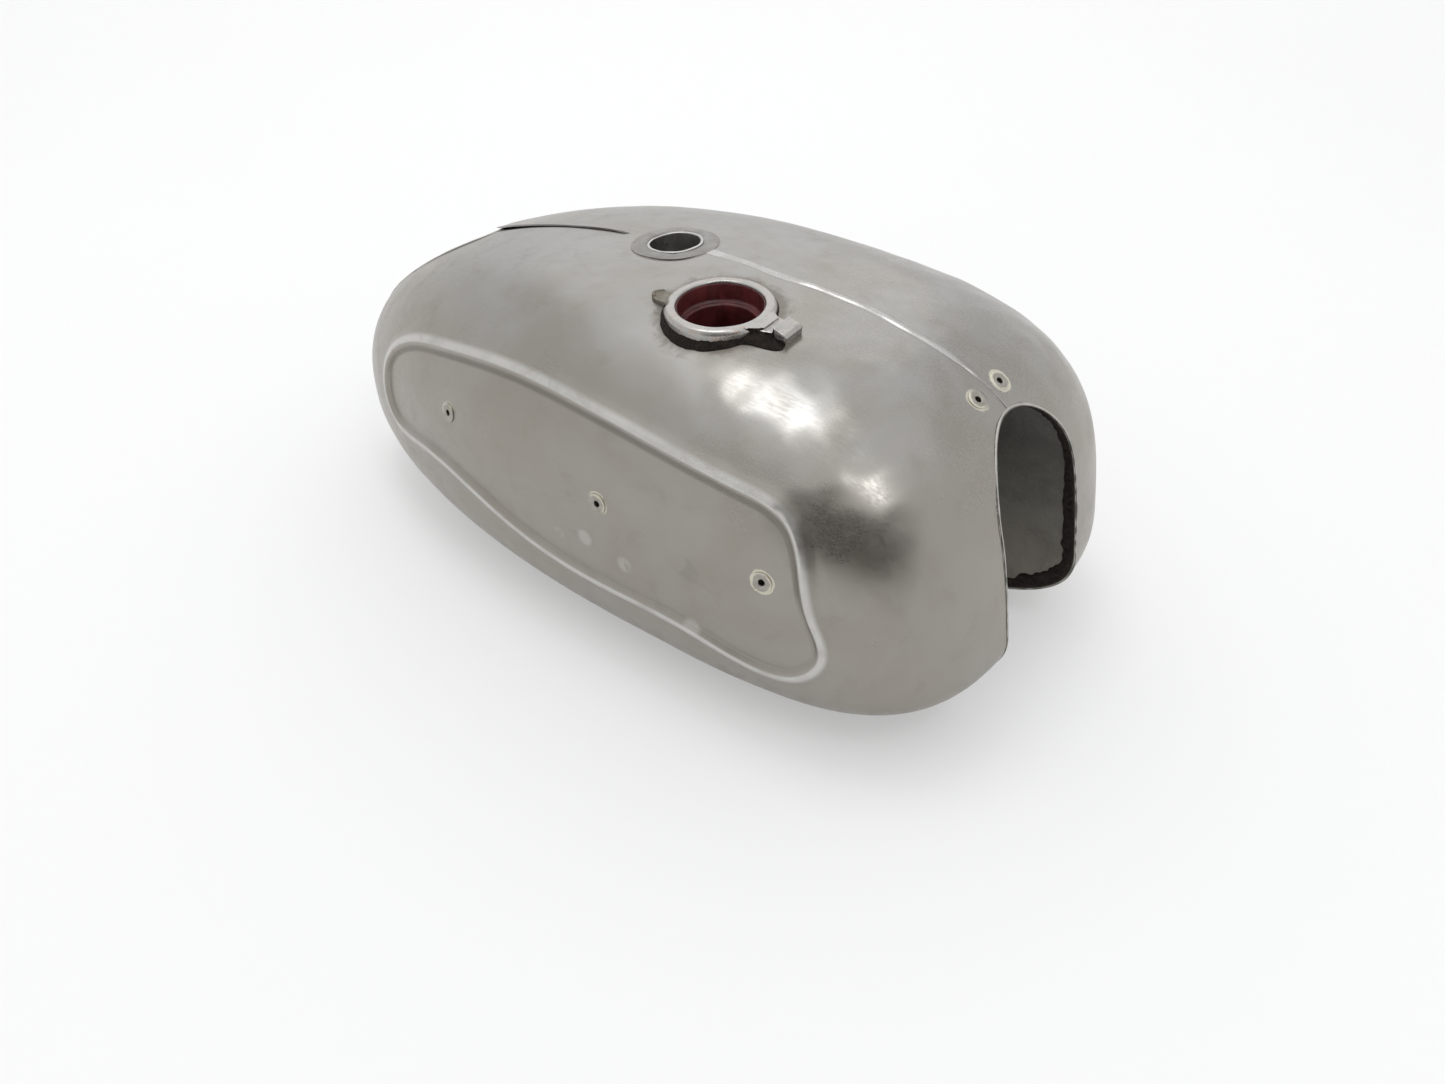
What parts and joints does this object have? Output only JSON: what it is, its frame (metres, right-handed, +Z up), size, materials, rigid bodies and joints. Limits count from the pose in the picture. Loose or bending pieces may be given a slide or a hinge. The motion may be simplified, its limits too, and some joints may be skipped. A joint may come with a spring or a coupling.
{
  "type": "motorcycle fuel tank",
  "caption": "Saddle-type bare steel motorcycle fuel tank with a through tunnel, centre bolt sleeve, offset filler neck and ribbed side panels.",
  "frame": {"origin": "on the surface that the tank rests on, below the middle of its length and width", "axes": "+X forwards, the way the motorcycle travels, +Y to the rider's left, +Z up"},
  "size_m": [0.5571, 0.3106, 0.2247],
  "materials": {
    "raw_steel": "bare pressed sheet steel, cleaned and lightly oiled, with soft polishing marks",
    "ground_weld": "weld ground smooth and polished",
    "neck_steel": "polished steel with brown flux stains",
    "boss_steel": "turned steel boss with a pale polished halo",
    "inner_steel": "dull grey unpolished steel",
    "braze": "rough brown-black braze and flux",
    "red_sealer": "dark oxblood tank sealer, satin"
  },
  "bodies": {
    "root": {"right_half_shell": "raw_steel", "left_half_shell": "raw_steel", "right_base_pan": "raw_steel", "left_base_pan": "raw_steel", "tunnel_channel": "inner_steel", "front_mouth_rim": "braze", "rear_mouth_rim": "braze", "seam_ridge": "ground_weld", "joint_strip": "inner_steel", "centre_sleeve": "neck_steel", "centre_collar": "ground_weld", "sleeve_ring": "braze", "filler_neck_ring": "neck_steel", "filler_neck_cup": "red_sealer", "filler_braze": "braze", "filler_hinge_lug": "neck_steel", "filler_catch_lug": "neck_steel", "right_badge_boss_rear": "boss_steel", "right_badge_boss_middle": "boss_steel", "right_badge_boss_front": "boss_steel", "right_nose_boss": "boss_steel", "right_tap_boss": "boss_steel", "left_badge_boss_rear": "boss_steel", "left_badge_boss_middle": "boss_steel", "left_badge_boss_front": "boss_steel", "left_nose_boss": "boss_steel", "left_tap_boss": "boss_steel"}
  },
  "joints": []
}
